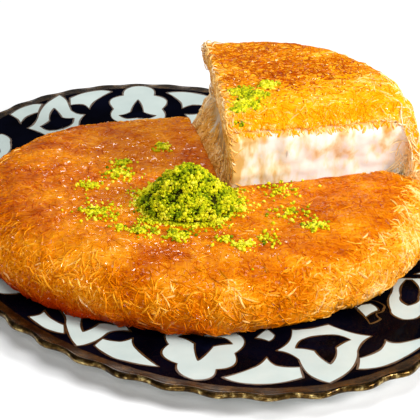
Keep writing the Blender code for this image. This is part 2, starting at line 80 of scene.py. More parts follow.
# Platter
HALF_WIDTH = 0.1272
HALF_LENGTH = 0.1859
WELL_Z = 0.0085
WELL_EDGE = 0.089
BAND_RISE = 0.0025
BAND_EASE = 0.25
LIP = 0.0065
RIM_THICKNESS = 0.0030
BAND_THICKNESS = 0.0034
UNDERSIDE_Z = 0.0032
WELL_UNDERSIDE_Z = 0.0043
FOOT_OUTER = 0.0810
FOOT_INNER = 0.0735
SCALLOPS = 49
SCALLOP_OUT = 0.0005  # how far each one reaches beyond the oval, a little inside the solid's
SCALLOP_DEPTH = 0.0022
SCALLOP_DIP = 0.0003
SCALLOP_START = 0.947  # share of a scallop that is past where the rim meets +X
CROWDING = 0.07  # how much closer together they are where they are closest
CROWDED_AT = 0.179  # share of the way round from +X where that is
RIM_STEPS = 16 * SCALLOPS
CUT_CELL = 0.004
ABOVE_PLATTER = 0.10  # where the rays start that look for its surface

# Painted pattern: how far its fields and lines stand out of the glaze, and how deep they reach into it
WHITE_RISE = 0.00010
COBALT_RISE = 0.00015
LINE_RISE = 0.00005  # above the field that it goes round
SUNK = 0.00006

# Cake, as in the frame
CAKE = Vector((-0.0031, -0.0186, 0.0088))
CAKE_TOP = CAKE.z + 0.029
SEAM_Z = CAKE.z + 0.030  # where the pulled strands part, as in the solids
ABOVE_CAKE = 0.12  # where the rays start that look for its surface
TOP_LEAST_Z = 0.028  # nothing lower is the cake's top
WEDGE_LEAST_Z = 0.060  # the top and the edges of the lifted crust are higher
HEADROOM = 0.0001  # how far shreds and crumbs stay below the solids' top
APEX = Vector((CAKE.x + 0.0060, CAKE.y - 0.0150))
CUT_RIGHT = math.radians(-4)
CUT_LEFT = math.radians(80)
TURN = math.radians(-4)  # how far the lifted wedge has swung round
OUT_OF_CUT = np.array([math.sin(CUT_RIGHT), -math.cos(CUT_RIGHT)])  # straight out of the right-hand cut
HEAP = Vector((CAKE.x - 0.0167, CAKE.y - 0.0285))
HEAP_RADIUS = 0.0236
HEAP_RELIEF = 0.0030  # how far clumps of crumbs stand out of the heap
HEAP_CRUMBS = 7900
CHEESE_BULGE = 0.0022  # how far the pulled cheese bellies out of its cut
CHEESE_SPREAD = 0.0066  # how far its outer end fills up towards the pulled wall
CHEESE_STRINGS = 22
TONGUE_DEPTH = 0.0018  # how far the wedge's syruped edge hangs over the cheese, and how far it comes forward
TONGUE_WIDTH = 0.0075
CRUST_RELIEF = 0.0006  # how far the lumps of the crusts stand out
CRUST_LUMP = 0.0040
END_DROP = 0.0004  # how far a shred's ends dip into the mat
SHRED_SIDES = 3
SHRED_TAPER = 0.35
CRISP_EDGE = math.radians(40)  # where shreds and painted fields turn more than this, their edge is crisp

# The cake's side is paler towards the right, partly baked so and partly painted light from the key lamp's
# side: by how much, and from where to where
PALE = 0.34
PALE_FROM = -0.05
PALE_TO = 0.065

# The finest mat: one shred's length, breadth and height, and each layer's turn and lean in degrees
FIBRE = (0.010, 0.0008, 0.0008)
FIBRE_LAYERS = ((15, 10), (75, -12), (130, 8), (160, -20))

FAR = 2.0  # metres or a slope, further than anything here
OPEN = (-FAR, FAR)  # a range that leaves nothing out

SEED = 7
chance = np.random.default_rng(SEED)


def linear(colour):
    """sRGB hex to linear RGBA."""
    parts = [int(colour[i : i + 2], 16) / 255 for i in (1, 3, 5)]
    return (*[c / 12.92 if c <= 0.04045 else ((c + 0.055) / 1.055) ** 2.4 for c in parts], 1)


def fill(node, inputs):
    """Sets a node's inputs: an output of another node is linked, anything else is the input's value."""
    for key, value in inputs.items():
        if isinstance(value, bpy.types.NodeSocket):
            node.id_data.links.new(value, node.inputs[key])
        else:
            node.inputs[key].default_value = value


def add(tree, kind, inputs=None, stops=(), out=0, **settings):
    """Adds a node with its settings, inputs and ramp colours. Returns one of its outputs."""
    made = tree.nodes.new("ShaderNode" + kind)
    for key, value in settings.items():
        setattr(made, key, value)
    fill(made, inputs or {})
    if stops:
        ramp = made.color_ramp
        while len(ramp.elements) < len(stops):
            ramp.elements.new(0.5)
        for element, (position, colour) in zip(ramp.elements, stops):
            element.position = position
            element.color = linear(colour)
    return made.outputs[out]


def new_material(name, **sockets):
    """A material and its Principled shader, with values that are the same all over."""
    made = bpy.data.materials.new(name)
    made.use_nodes = True
    shader = made.node_tree.nodes["Principled BSDF"]
    fill(shader, {key.replace("_", " "): value for key, value in sockets.items()})
    return made, made.node_tree, shader


def fibres(tree, place):
    """Height of a mat of crossing shreds that bend a little."""
    bend = add(tree, "TexNoise", {"Scale": 70, "Detail": 1, "Vector": place}, out="Color")
    shift = add(tree, "VectorMath", {1: (0.5, 0.5, 0.5), 0: bend}, operation="SUBTRACT")
    shift = add(tree, "VectorMath", {"Scale": 0.008, 0: shift}, operation="SCALE")
    warped = add(tree, "VectorMath", {0: place, 1: shift}, operation="ADD")
    top = None
    for turn, lean in FIBRE_LAYERS:
        rotation = (math.radians(lean), 0, math.radians(turn))
        laid = add(tree, "Mapping", {"Rotation": rotation, "Scale": FIBRE, "Vector": warped},
                   vector_type="TEXTURE")
        layer = add(tree, "TexNoise", {"Scale": 0.7, "Detail": 1, "Vector": laid})
        top = layer if top is None else add(tree, "Math", {0: top, 1: layer}, operation="MAXIMUM")
    return top


# Kataifi: shredded dough baked in butter and soaked in syrup, which fuses the shreds into a mat. Red-brown
# where it lay against the tin, golden above, with small wet glints.
def baked_kataifi(name, stops, patch, coat, foot=0.0, pale=0.0):
    made, tree, shader = new_material(name, IOR=1.45, Specular_IOR_Level=0.12, Coat_Roughness=0.10,
                                      Specular_Tint=linear("#F2A23A"))
    place = add(tree, "TexCoord", out="Object")
    across = add(tree, "SeparateXYZ", {"Vector": place}, out="X")
    up = add(tree, "SeparateXYZ", {"Vector": place}, out="Z")
    patches = add(tree, "TexNoise", {"Scale": 42, "Detail": 3, "Roughness": 0.6, "Vector": place})
    grain = add(tree, "TexNoise", {"Scale": 420, "Detail": 2, "Vector": place})
    drops = add(tree, "TexNoise", {"Scale": 620, "Detail": 1, "Vector": place})
    mat = fibres(tree, place)
    patchy = add(tree, "MapRange", {"From Min": 0.3, "From Max": 0.7, "To Min": -patch, "To Max": patch,
                                    "Value": patches}, clamp=False)
    # Fibre tops painted lighter and the grooves between them a little darker: painted highlight and shade
    # from the mat's height
    fine = add(tree, "MapRange", {"From Min": 0.50, "From Max": 0.78, "To Min": -0.05, "To Max": 0.20,
                                  "Value": mat}, clamp=False)
    # Paler towards +X: partly paler baking, partly painted light on the side that faces the key lamp
    right = add(tree, "MapRange", {"From Min": PALE_FROM, "From Max": PALE_TO, "To Min": 0, "To Max": pale,
                                   "Value": across})
    total = add(tree, "Attribute", out="Fac", attribute_name="shade")
    for part in (patchy, fine, right):
        total = add(tree, "Math", {0: total, 1: part}, operation="ADD")
    colour = add(tree, "ValToRGB", {"Fac": total}, stops=stops)
    low = add(tree, "MapRange", {"From Min": 0.0130, "From Max": 0.0235, "To Min": 1, "To Max": 0,
                                 "Value": up})
    # The red-brown foot deepens towards -X: partly browning, partly painted shade on the side away from the
    # key lamp
    left = add(tree, "MapRange",
               {"From Min": -0.085, "From Max": 0.02, "To Min": foot, "To Max": 0.05 * foot, "Value": across})
    burnt = add(tree, "Math", {0: low, 1: left}, operation="MULTIPLY")
    relief = add(tree, "Bump", {"Strength": 0.7, "Distance": 0.0003, "Height": mat})
    fill(shader, {
        "Base Color": add(tree, "MixRGB", {"Color2": linear("#A82A00"), "Fac": burnt, "Color1": colour}),
        "Roughness": add(tree, "MapRange", {"From Min": 0.3, "From Max": 0.7, "To Min": 0.42, "To Max": 0.62,
                                            "Value": grain}),
        "Normal": relief,
        "Coat Weight": add(tree, "MapRange", {"From Min": 0.57, "From Max": 0.63, "To Max": coat,
                                              "Value": drops}),
        "Coat Normal": add(tree, "Bump", {"Strength": 0.7, "Distance": 0.0002, "Height": grain}),
    })
    return made


# Melted white cheese, pulled into soft folds: milky and moist, so light goes in and comes out warm. Tan where
# butter and crumbs of pastry cling to it, and towards its left cut partly that and partly painted shade;
# amber where the wedge's syrup has run down.
def melted_cheese():
    made, tree, shader = new_material(
        "melted_cheese", IOR=1.45, Specular_IOR_Level=0.4, Coat_Weight=0.3, Coat_Roughness=0.25,
        Subsurface_Weight=0.2, Subsurface_Radius=(1.0, 0.94, 0.80), Subsurface_Scale=0.003)
    place = add(tree, "TexCoord", out="Object")
    drawn = add(tree, "Mapping", {"Scale": (1, 1, 0.4), "Vector": place})
    streaks = add(tree, "TexNoise", {"Scale": 300, "Detail": 2, "Roughness": 0.5, "Vector": drawn})
    folds = add(tree, "TexNoise", {"Scale": 110, "Detail": 2, "Vector": drawn})
    both = add(tree, "Math", {0: streaks, 1: folds}, operation="ADD")
    level = add(tree, "MapRange", {"From Min": 0.7, "From Max": 1.3, "To Min": 0.14, "Value": both})
    tan = add(tree, "Attribute", out="Fac", attribute_name="shade")
    syrup = add(tree, "Attribute", out="Fac", attribute_name="syrup")
    total = add(tree, "Math", {0: level, 1: tan}, operation="SUBTRACT")
    colour = add(tree, "ValToRGB", {"Fac": total},
                 stops=[(0.0, "#E2B86C"), (0.18, "#F5DCA8"), (0.38, "#FFF2D2"), (0.6, "#FFFDF4")])
    fill(shader, {
        "Base Color": add(tree, "MixRGB", {"Color2": linear("#FBAF2C"), "Fac": syrup, "Color1": colour}),
        "Roughness": add(tree, "MapRange", {"To Min": 0.35, "To Max": 0.55, "Value": streaks}),
        "Normal": add(tree, "Bump", {"Strength": 0.2, "Distance": 0.0002, "Height": streaks}),
    })
    return made


# Ground pistachio: dry crumbs, yellow-green inside the nut, deeper green and purple-brown near its skin; its
# darkest colours also stand for painted shade in the heap's hollows
def ground_pistachio(name, stops):
    made, tree, shader = new_material(name, IOR=1.47, Specular_IOR_Level=0.25,
                                      Specular_Tint=linear("#E8E060"))
    place = add(tree, "TexCoord", out="Object")
    grain = add(tree, "TexNoise", {"Scale": 900, "Detail": 2, "Vector": place})
    patches = add(tree, "TexNoise", {"Scale": 150, "Detail": 2, "Vector": place})
    shift = add(tree, "MapRange", {"To Min": -0.2, "To Max": 0.2, "Value": grain})
    clump = add(tree, "MapRange", {"From Min": 0.3, "From Max": 0.7, "To Min": -0.22, "To Max": 0.2,
                                   "Value": patches})
    total = add(tree, "Attribute", out="Fac", attribute_name="shade")
    for part in (shift, clump):
        total = add(tree, "Math", {0: total, 1: part}, operation="ADD")
    fill(shader, {
        "Base Color": add(tree, "ValToRGB", {"Fac": total}, stops=stops),
        "Roughness": add(tree, "MapRange", {"To Min": 0.6, "To Max": 0.85, "Value": grain}),
        "Normal": add(tree, "Bump", {"Strength": 0.6, "Distance": 0.0003, "Height": grain}),
    })
    return made


# Porcelain under an almost black cobalt glaze, white below, its scalloped lip gilded and worn to bronze, its
# bead painted a brighter gold for highlights
def glazed_porcelain():
    made, tree, shader = new_material("glazed_porcelain", IOR=1.5, Specular_IOR_Level=0, Coat_Weight=0.05,
                                      Coat_Roughness=0.04)
    place = add(tree, "TexCoord", out="Object")
    shrink = (1 / (HALF_WIDTH - LIP), 1 / (HALF_LENGTH - LIP), 0)
    shrunk = add(tree, "Mapping", {"Scale": shrink, "Vector": place})
    rho = add(tree, "VectorMath", {0: shrunk}, out="Value", operation="LENGTH")
    ring = add(tree, "TexNoise", {"Scale": 140, "Detail": 2, "Vector": place})
    wavy = add(tree, "Math", {1: 0.004, 0: ring}, operation="MULTIPLY")
    edge = add(tree, "Math", {0: rho, 1: wavy}, operation="ADD")
    gilt = add(tree, "MapRange", {"From Min": 0.996, "From Max": 0.999, "Value": edge})
    cloud = add(tree, "TexNoise", {"Scale": 30, "Detail": 4, "Vector": place})
    cobalt = add(tree, "ValToRGB", {"Fac": cloud}, stops=[(0.35, "#010104"), (0.7, "#050613")])
    normal = add(tree, "NewGeometry", out="Normal")
    facing = add(tree, "SeparateXYZ", {"Vector": normal}, out="Z")
    under = add(tree, "MapRange", {"From Min": -0.05, "From Max": -0.35, "Value": facing})
    body = add(tree, "MixRGB", {"Color2": linear("#DDE2DF"), "Fac": under, "Color1": cobalt})
    wear = add(tree, "TexNoise", {"Scale": 260, "Detail": 5, "Roughness": 0.7, "Vector": place})
    worn = add(tree, "ValToRGB", {"Fac": wear},
               stops=[(0.35, "#0C0703"), (0.5, "#281A09"), (0.65, "#4E3716")])
    # Brighter gold where the bead turns down, so that it catches glints: painted highlight
    bead_glint_gold = add(tree, "ValToRGB", {"Fac": wear},
                 stops=[(0.40, "#22160A"), (0.53, "#6A4E20"), (0.66, "#F0D690")])
    bead = add(tree, "MapRange", {"From Min": 0.9, "From Max": 0.4, "To Max": 0.7, "Value": facing})
    gold = add(tree, "MixRGB", {"Fac": bead, "Color1": worn, "Color2": bead_glint_gold})
    fill(shader, {
        "Base Color": add(tree, "MixRGB", {"Fac": gilt, "Color1": body, "Color2": gold}),
        "Metallic": add(tree, "Math", {1: 0.8, 0: gilt}, operation="MULTIPLY"),
        "Roughness": add(tree, "MapRange", {"To Min": 0.06, "To Max": 0.24, "Value": gilt}),
        "Normal": add(tree, "Bump", {"Strength": 0.08, "Distance": 0.0003, "Height": wear}),
    })
    return made


def clouded(name, scale, detail, stops, dull=None, relief=None, **sockets):
    """A finish whose colour drifts in clouds, and its roughness and relief too where they are given."""
    made, tree, shader = new_material(name, **sockets)
    place = add(tree, "TexCoord", out="Object")
    cloud = add(tree, "TexNoise", {"Scale": scale, "Detail": detail, "Vector": place})
    fill(shader, {"Base Color": add(tree, "ValToRGB", {"Fac": cloud}, stops=stops)})
    if dull:
        rough = add(tree, "MapRange", {"To Min": dull[0], "To Max": dull[1], "Value": cloud})
        fill(shader, {"Roughness": rough})
    if relief:
        waves = add(tree, "Bump", {"Strength": relief[0], "Distance": relief[1], "Height": cloud})
        fill(shader, {"Normal": waves})
    return made


def select_only(obj):
    bpy.ops.object.select_all(action="DESELECT")
    obj.select_set(True)
    bpy.context.view_layer.objects.active = obj


def modify(obj, kind, **settings):
    """Adds a modifier and applies it."""
    select_only(obj)
    modifier = obj.modifiers.new(kind.lower(), kind)
    for key, value in settings.items():
        setattr(modifier, key, value)
    bpy.ops.object.modifier_apply(modifier=modifier.name)


def finish_piece(obj, finish, replaced=None):
    """Gives a piece its material, shades it smooth and lets it ride on the frame."""
    obj.data.materials.clear()
    obj.data.materials.append(finish)
    obj.data.shade_smooth()
    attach(obj, "root")
    if replaced:
        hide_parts(replaced)
    return obj


def mesh_piece(name, points, faces, shades=None):
    mesh = bpy.data.meshes.new(name)
    mesh.from_pydata(points, [], faces)
    mesh.update()
    obj = bpy.data.objects.new(name, mesh)
    bpy.context.scene.collection.objects.link(obj)
    if shades is not None:
        set_shades(obj, shades)
    return obj


def get_points(obj):
    flat = np.empty(len(obj.data.vertices) * 3, np.float32)
    obj.data.vertices.foreach_get("co", flat)
    return flat.reshape(-1, 3).astype(float)


def set_points(obj, points):
    obj.data.vertices.foreach_set("co", points.astype(np.float32).ravel())
    obj.data.update()


def smooth_step(value, low, high):
    share = np.clip((value - low) / (high - low), 0, 1)
    return share * share * (3 - 2 * share)


def turned(name, profile, steps):
    """A closed turned body: a disc, extruded and resized ring by ring along the profile."""
    bpy.ops.object.select_all(action="DESELECT")
    radius, height = profile[0]
    bpy.ops.mesh.primitive_circle_add(
        vertices=steps, radius=radius, fill_type="TRIFAN", location=(0, 0, height))
    obj = bpy.context.object
    obj.name = obj.data.name = name
    bpy.ops.object.transform_apply(location=True, rotation=False, scale=False)
    rim = [v.index for v in obj.data.vertices if v.co.xy.length > radius / 2]
    bpy.ops.object.mode_set(mode="EDIT")
    bpy.ops.mesh.select_mode(type="VERT")
    bpy.ops.mesh.select_all(action="DESELECT")
    bpy.ops.object.mode_set(mode="OBJECT")
    for index in rim:
        obj.data.vertices[index].select = True
    bpy.ops.object.mode_set(mode="EDIT")
    for (r0, z0), (r1, z1) in zip(profile, profile[1:]):
        bpy.ops.mesh.extrude_edges_move(TRANSFORM_OT_translate={"value": (0, 0, z1 - z0)})
        bpy.ops.transform.resize(value=(r1 / r0, r1 / r0, 1), center_override=(0, 0, z1))
    bpy.ops.mesh.extrude_edges_move(TRANSFORM_OT_translate={"value": (0, 0, 0)})
    bpy.ops.mesh.merge(type="CENTER")
    bpy.ops.mesh.select_all(action="SELECT")
    bpy.ops.mesh.normals_make_consistent(inside=False)
    bpy.ops.object.mode_set(mode="OBJECT")
    return obj


def arc(centre_x, centre_z, radius, start, end, count):
    for index in range(count + 1):
        angle = math.radians(start + (end - start) * index / count)
        yield centre_x + radius * math.cos(angle), centre_z + radius * math.sin(angle)


def band_z(x):
    """Height of the platter's upper face at this half width."""
    share = max(x - WELL_EDGE, 0) / (HALF_WIDTH - WELL_EDGE)
    slope = 1 / (1 - BAND_EASE / 2)
    if share < BAND_EASE:
        return WELL_Z + BAND_RISE * slope * share * share / (2 * BAND_EASE)
    return WELL_Z + BAND_RISE * slope * (share - BAND_EASE / 2)


class Oval:
    """An ellipse measured along its edge."""

    def __init__(self, half_width, half_length):
        self.half = np.array([half_width, half_length])
        self.angles = np.linspace(0, math.tau, 3601)
        ring = np.stack([np.cos(self.angles), np.sin(self.angles)], 1) * self.half
        steps = np.linalg.norm(np.diff(ring, axis=0), axis=1)
        self.along = np.concatenate([[0], np.cumsum(steps)])
        self.length = self.along[-1]

    def angle(self, run):
        return np.interp(np.mod(run, self.length), self.along, self.angles)

    def edge(self, run):
        """Point on the edge and the direction straight out from it."""
        heading = np.stack([np.cos(self.angle(run)), np.sin(self.angle(run))], -1)
        outward = heading * self.half[::-1]
        return heading * self.half, outward / np.linalg.norm(outward, axis=-1, keepdims=True)


rim_oval = Oval(HALF_WIDTH, HALF_LENGTH)
gilt_oval = Oval(HALF_WIDTH - LIP, HALF_LENGTH - LIP)


def make_platter():
    lip_start = HALF_WIDTH - LIP
    bead = RIM_THICKNESS / 2
    profile = [(r, WELL_Z) for r in (0.012, 0.045, 0.070, WELL_EDGE)]
    profile += [(r, band_z(r)) for r in np.linspace(WELL_EDGE, lip_start, 14)[1:].tolist()]
    profile += [(r, band_z(r)) for r in np.linspace(lip_start, HALF_WIDTH - bead, 6)[1:-1].tolist()]
    profile += arc(HALF_WIDTH - bead, band_z(HALF_WIDTH) - bead, bead, 90, -90, 10)
    profile += [
        (lip_start, band_z(lip_start) - BAND_THICKNESS),
        (WELL_EDGE, WELL_UNDERSIDE_Z),
        (FOOT_OUTER + 0.0020, WELL_UNDERSIDE_Z),
        (FOOT_OUTER + 0.0006, WELL_UNDERSIDE_Z - 0.0010),
        (FOOT_OUTER, 0.0006),
        (FOOT_OUTER - 0.0006, 0),
        (FOOT_INNER + 0.0006, 0),
        (FOOT_INNER, 0.0006),
        (FOOT_INNER - 0.0020, UNDERSIDE_Z),
        (0.030, UNDERSIDE_Z),
    ]
    obj = turned("platter_porcelain", profile, RIM_STEPS)
    points = get_points(obj)
    radius = np.hypot(points[:, 0], points[:, 1])
    share = np.mod(np.arctan2(points[:, 1], points[:, 0]) / math.tau, 1)
    angle = rim_oval.angle(share * rim_oval.length)
    heading = np.stack([np.cos(angle), np.sin(angle)], 1)
    rim = heading * rim_oval.half
    outward = heading * rim_oval.half[::-1]
    outward /= np.linalg.norm(outward, axis=1, keepdims=True)
    inner = heading * gilt_oval.half
    over = np.clip((radius - lip_start) / LIP, 0, 1)[:, None]
    drift = CROWDING * SCALLOPS / math.tau * np.sin(math.tau * (share - CROWDED_AT))
    wave = np.cos(math.tau * (SCALLOPS * share + drift + SCALLOP_START))
    reach = SCALLOP_OUT - SCALLOP_DEPTH * (1 - wave) / 2
    flat = np.where(over > 0, inner + (rim - inner) * over, inner * (radius / lip_start)[:, None])
    points[:, :2] = flat + outward * reach[:, None] * over**1.5
    points[:, 2] -= SCALLOP_DIP * over[:, 0] ** 2 * (1 + wave) / 2
    set_points(obj, points)
    return finish_piece(obj, GLAZE, "platter")


# The pattern, one half of each motif: u along the rim from the motif's middle, t in from the gilding, in
# millimetres, and how far the edge to the next point bows out, as a share of its half length
BOLL = [(0, 1.5, 0.42), (9.5, 13.5, 0.55), (19.0, 29.5, 0.85), (14.0, 50.0, 0.05), (0, 50.0, 0)]
BOLL_LEAF = [(0, 19.5, 0.05), (5.5, 34.5, -0.15), (17.0, 38.0, 0.35), (5.0, 42.5, 0.1), (0, 42.0, 0)]
TULIP = [(0, 0.5, 0.19), (18.5, 24.0, -0.22), (35.5, 32.0, -0.12), (20.0, 53.0, 0), (0, 53.0, 0)]
TULIP_LEAF = [(0, 17.5, 0.12), (7.5, 31.5, -0.12), (21.0, 35.0, 0.30), (12.0, 43.5, 0.08), (0, 45.0, 0)]
# The bud lies along the rim, so its t is the way from its tip and its u the half breadth
BUD = [(0, 0, 0.35), (7.2, 9.0, 0.15), (8.5, 30.0, 0), (7.5, 50.0, 0), (0, 50.0, 0)]
BUD_LEAF = [(0, 17.0, 0.3), (4.0, 28.0, 0.15), (1.2, 48.0, 0), (0, 48.0, 0)]
WING = [(13.5, 8.0, 0), (17.0, 17.5, 0.08), (31.0, 19.0, 0.1), (39.0, 25.5, 0.12), (41.0, 17.5, 0.05),
        (51.0, 6.0, -0.22)]
PETAL = [(-10.0, -3.5, -0.1), (2.0, -6.0, 0.2), (9.0, -0.5, 0.1), (1.0, 5.5, 0.1)]
HOOD = [(0, 4, 0), (-17, -8, 0.1), (-8, -10, -0.2), (-2, -6, 0.3), (5, -7.5, 0.3), (12, -4, 0.3), (13, 2, 0)]

# How each motif sits, painted by hand and so uneven: its place in millimetres along the gilding from the +X
# side, its breadth, how far it leans with depth, the depth of its tip, how far it slopes, and its length
BOLLS = (
    (86, 0.95, 0, 0, 0, 1),
    (210.5, 1.08, 0.04, -4.2, -0.02, 1.12),
    (525, 1, 0, 0, 0, 1),
    (653.5, 1.02, -0.28, 0.6, 0.09, 0.98),
    (928, 1, 0, 0, 0, 1),
)
TULIPS = (
    (31, 0.8, 0, 0.5, 0, 1),
    (150, 0.9, -0.32, 0.5, 0, 1),
    (257.7, 0.69, 0.81, -2.0, -0.13, 0.84),
    (432, 1.05, 0, 0.5, 0, 1),
    (594.2, 0.65, -0.50, 0.6, 0.14, 0.70),
    (710.5, 0.97, 0.47, 0.4, -0.13, 0.94),
    (872, 0.8, 0, 0.5, 0, 1),
)
LONG_WINGS = {(594.2, 1): 2.3, (710.5, 1): 2.6}  # the wings that reach further than the rest
BUDS = ((324, 13), (786, 22))
PETALS = ((60, 50), (181, 50), (300, 50), (400, 50), (478, 50), (556, 50), (618, 50), (685, 50),
          (790, 41), (845, 48), (901, 50), (983, 50))
HOODS = ((790, 41),)
LEAST_DEPTH = -2.0  # how far the white may run over the gilding
SLOPE_DEPTH = 24.0
OUTLINE = 0.95  # brush width


def bowed(corners, close=True):
    """Points along edges that bow out, about a millimetre apart."""
    made = []
    ends = corners[1:] + ([corners[0]] if close else [])
    for (u0, t0, bow), (u1, t1, *_) in zip(corners, ends):
        span = math.hypot(u1 - u0, t1 - t0)
        count = max(2, round(span))
        for index in range(count):
            share = index / count
            rise = bow * 2 * share * (1 - share) * span
            u = u0 + (u1 - u0) * share + (t1 - t0) / span * rise
            t = t0 + (t1 - t0) * share - (u1 - u0) / span * rise
            made.append((u, t))
    if not close:
        made.append(corners[-1][:2])
    return np.array(made)


def mirrored(half):
    """The whole outline of a motif from its right half, which starts and ends on its middle line."""
    right = bowed(half, close=False)
    return np.concatenate([right, right[-2:0:-1] * [-1, 1]])


def set_down(outline, breadth, lean, tip, slope, length):
    """Leans, slopes and sizes a motif's outline."""
    u, t = outline[:, 0], outline[:, 1]
    deeper = tip + length * t + slope * u * np.clip(t / SLOPE_DEPTH, 0, 1)
    return np.stack([breadth * u + lean * t, np.maximum(deeper, LEAST_DEPTH)], 1)


def wing_outline(side, reach):
    outline = bowed(WING)
    beyond = np.maximum(outline[:, 0] - WING[3][0], 0)
    outline[:, 0] = side * (outline[:, 0] + (reach - 1) * beyond)
    return outline


def motif_fields():
    """Every field of the pattern: its kind, its outline in millimetres, and its place along the rim."""
    for place, *stance in BOLLS:
        yield "white", set_down(mirrored(BOLL), *stance), place
        yield "cobalt", set_down(mirrored(BOLL_LEAF), *stance), place
    for place, *stance in TULIPS:
        yield "white", set_down(mirrored(TULIP), *stance), place
        yield "cobalt", set_down(mirrored(TULIP_LEAF), *stance), place
        for side in (1, -1):
            yield "white", set_down(wing_outline(side, LONG_WINGS.get((place, side), 1)), *stance), place
    for place, depth in BUDS:
        for kind, half in (("white", BUD), ("cobalt", BUD_LEAF)):
            outline = mirrored(half)[:, ::-1]
            yield kind, outline + np.stack([0 * outline[:, 0], depth + 0.12 * outline[:, 0]], 1), place
    for place, depth in PETALS:
        yield "white", bowed(PETAL) + [0, depth], place
    for place, depth in HOODS:
        yield "line", bowed(HOOD) + [0, depth], place


def on_band(local, place, tree, lift):
    """Puts points of the pattern on the platter's upper face."""
    edge, outward = gilt_oval.edge((place + local[:, 0]) / 1000)
    flat = edge - outward * local[:, 1:] / 1000
    made = []
    for x, y in flat.tolist():
        hit = tree.ray_cast(Vector((x, y, ABOVE_PLATTER)), Vector((0, 0, -1)))[0]
        made.append((x, y, hit.z + lift))
    return made


def field_solid(outline, place, tree, rise):
    """A thin closed plate over the outline, cut into cells so that it follows the band."""
    shape = bmesh.new()
    shape.faces.new([shape.verts.new((u, t, 0)) for u, t in outline])
    cell = CUT_CELL * 1000
    for axis in (0, 1):
        span = outline[:, axis]
        for cut in np.arange(math.floor(span.min() / cell) * cell, span.max(), cell)[1:]:
            along = Vector((1, 0, 0)) if axis == 0 else Vector((0, 1, 0))
            bmesh.ops.bisect_plane(shape, geom=shape.verts[:] + shape.edges[:] + shape.faces[:],
                                   dist=1e-4, plane_co=along * cut, plane_no=along)
    bmesh.ops.triangulate(shape, faces=shape.faces)
    flat = np.array([v.co.xy for v in shape.verts])
    top = on_band(flat, place, tree, rise)
    bottom = on_band(flat, place, tree, -SUNK)
    count = len(top)
    faces = [[v.index for v in f.verts] for f in shape.faces]
    walls = []
    for edge in shape.edges:
        if edge.is_boundary:
            loop = edge.link_loops[0]
            a, b = loop.vert.index, loop.link_loop_next.vert.index
            walls.append([b, a, a + count, b + count])
    shape.free()
    return top + bottom, faces + [[i + count for i in f[::-1]] for f in faces] + walls


def brush_line(outline, place, tree, rise):
    """A raised brush line round the outline, a little wider and narrower as the brush was pressed."""
    ahead = np.roll(outline, -1, 0) - np.roll(outline, 1, 0)
    ahead /= np.linalg.norm(ahead, axis=1, keepdims=True)
    side = np.stack([ahead[:, 1], -ahead[:, 0]], 1)
    press = 1 + 0.22 * np.sin(np.arange(len(outline)) * 0.35 + place)
    half = OUTLINE / 2 * press[:, None]
    inner, outer = outline - side * half, outline + side * half
    rows = [on_band(outer, place, tree, -SUNK), on_band(outer, place, tree, rise),
            on_band(inner, place, tree, rise), on_band(inner, place, tree, -SUNK)]
    count = len(outline)
    faces = []
    for row in range(4):
        for index in range(count):
            after = (index + 1) % count
            a, b = row * count, (row + 1) % 4 * count
            faces.append([a + index, a + after, b + after, b + index])
    return sum(rows, []), faces


def make_pattern(platter):
    tree = BVHTree.FromObject(platter, bpy.context.evaluated_depsgraph_get())
    gathered = {"white": ([], []), "cobalt": ([], []), "outline": ([], [])}

    def collect(kind, part):
        points, faces = gathered[kind]
        start = len(points)
        points.extend(part[0])
        faces.extend([[i + start for i in face] for face in part[1]])

    for kind, outline, place in motif_fields():
        rise = COBALT_RISE if kind == "cobalt" else WHITE_RISE
        if kind != "line":
            collect(kind, field_solid(outline, place, tree, rise))
        collect("outline", brush_line(outline, place, tree, rise + LINE_RISE))
    for kind, name, finish in (
        ("white", "pattern_white", WHITE_ENAMEL),
        ("cobalt", "pattern_cobalt", COBALT_ENAMEL),
        ("outline", "pattern_outline", LUSTRE),
    ):
        obj = mesh_piece(name, *gathered[kind])
        modify(obj, "WELD", merge_threshold=0.000001)
        select_only(obj)
        bpy.ops.object.mode_set(mode="EDIT")
        bpy.ops.mesh.select_all(action="SELECT")
        bpy.ops.mesh.normals_make_consistent(inside=False)
        bpy.ops.object.mode_set(mode="OBJECT")
        finish_piece(obj, finish)
        obj.data.set_sharp_from_angle(angle=CRISP_EDGE)


def fine_copy(node, name, voxel, shrink, shade=0.45):
    """A finer copy of a CAD node: merged, remeshed and drawn in a little, so that shreds can lie on it."""
    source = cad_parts[node]
    obj = bpy.data.objects.new(name, source.data.copy())
    bpy.context.scene.collection.objects.link(obj)
    modify(obj, "WELD", merge_threshold=0.00001)
    modify(obj, "REMESH", mode="VOXEL", voxel_size=voxel)
    if shrink:
        modify(obj, "DISPLACE", strength=-shrink, mid_level=0)
    set_shades(obj, np.full(len(obj.data.vertices), shade))
    return obj


def set_shades(obj, shades, name="shade"):
    """How light or dark each point is, for the material's colour ramp."""
    layer = obj.data.attributes.get(name) or obj.data.attributes.new(name, "FLOAT", "POINT")
    layer.data.foreach_set("value", shades.astype(np.float32))


def calm(obj, chosen, iterations):
    """Smooths the chosen points only."""
    group = obj.vertex_groups.new(name="calm")
    group.add(np.flatnonzero(chosen).tolist(), 1, "REPLACE")
    modify(obj, "SMOOTH", factor=0.5, iterations=iterations, vertex_group="calm")
    obj.vertex_groups.clear()


def noise_at(points):
    return np.array([noise.noise(p) for p in points.tolist()])


def roughen(obj, depth, size, stretch=(1, 1, 1), chosen=None):
    """Moves points along their normals by noise."""
    normals = np.empty(len(obj.data.vertices) * 3, np.float32)
    obj.data.vertices.foreach_get("normal", normals)
    normals = normals.reshape(-1, 3)
    points = get_points(obj)
    lift = noise_at(points / size / np.array(stretch))
    if chosen is not None:
        lift = lift * chosen
    set_points(obj, points + normals * (depth * lift)[:, None])


def face_values(objects, key, width):
    """One of the values that Blender keeps for each face, for all the bodies together."""
    made = []
    for obj in objects:
        flat = np.empty(len(obj.data.polygons) * width, np.float32)
        obj.data.polygons.foreach_get(key, flat)
        made.append(flat.reshape(-1, width))
    return np.concatenate(made).astype(float)


